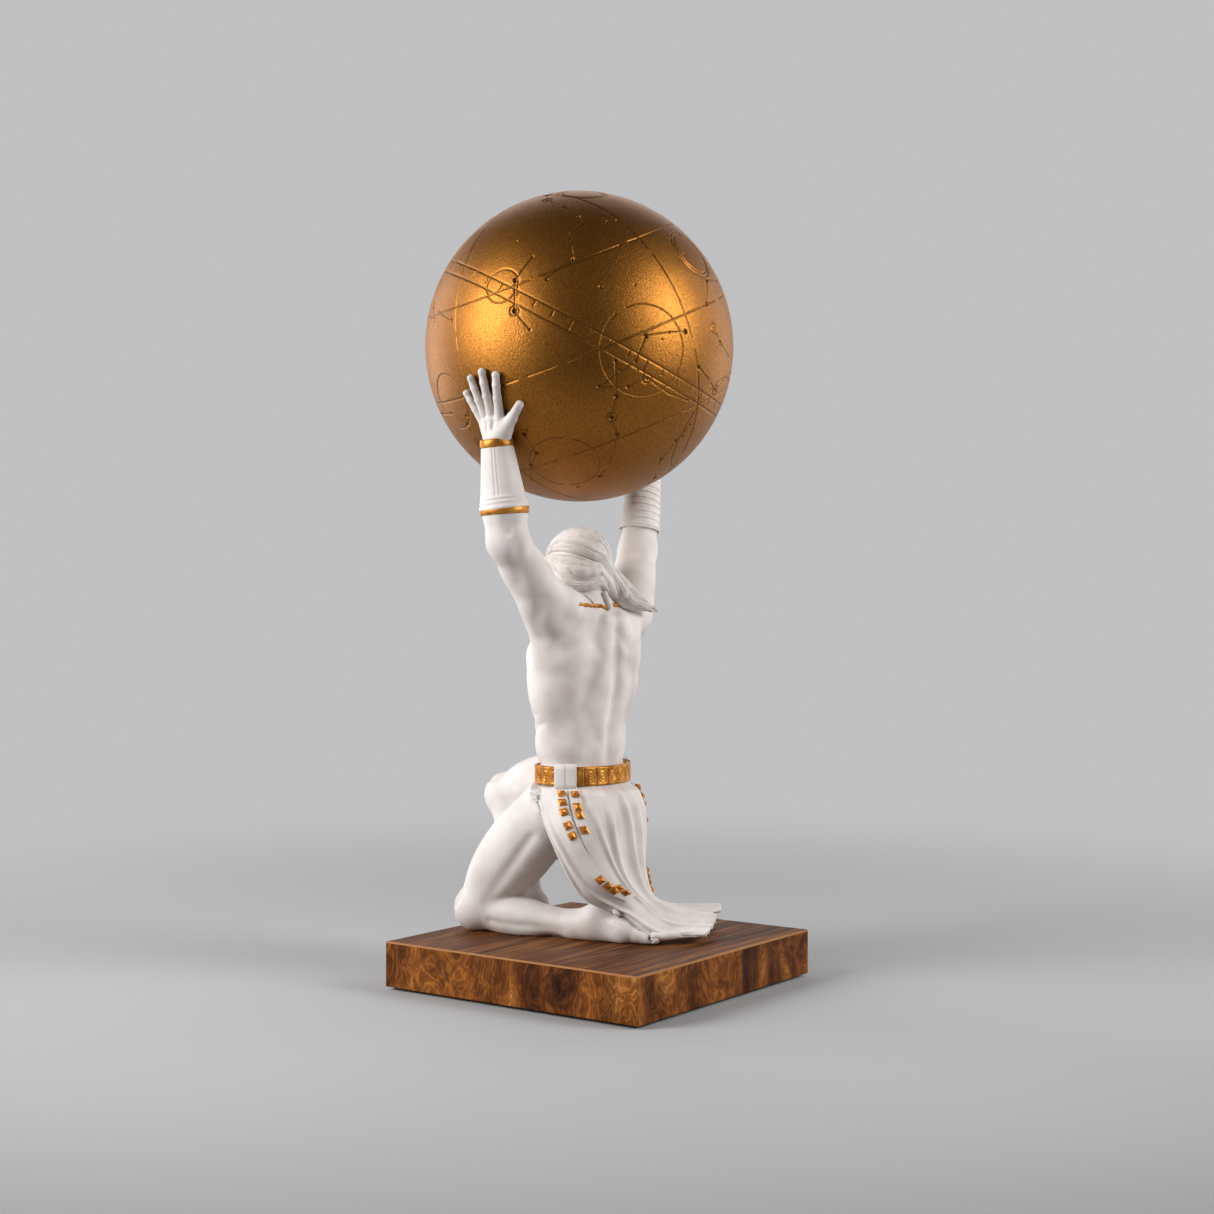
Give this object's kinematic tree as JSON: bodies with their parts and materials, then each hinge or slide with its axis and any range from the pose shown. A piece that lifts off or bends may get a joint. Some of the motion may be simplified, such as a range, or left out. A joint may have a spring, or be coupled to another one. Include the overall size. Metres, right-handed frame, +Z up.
{
  "type": "atlas statue",
  "caption": "Kneeling classical man in white porcelain with gold details, holding a large gold ball over his head, on a square wooden base.",
  "frame": {"origin": "centre of the base's underside, on the felt pad's lower face", "axes": "+Z up, the man faces -Y, his left is +X"},
  "size_m": [0.2409, 0.2525, 0.6006],
  "materials": {
    "porcelain": "matt unglazed white porcelain with gold lustre details",
    "gold_lustre": "satin gold on porcelain, finely engraved",
    "wood": "satin walnut top with burl sides",
    "felt": "black felt"
  },
  "bodies": {
    "root": {"figure": "porcelain", "globe": "gold_lustre", "base": "wood", "felt_pad": "felt"}
  },
  "joints": []
}
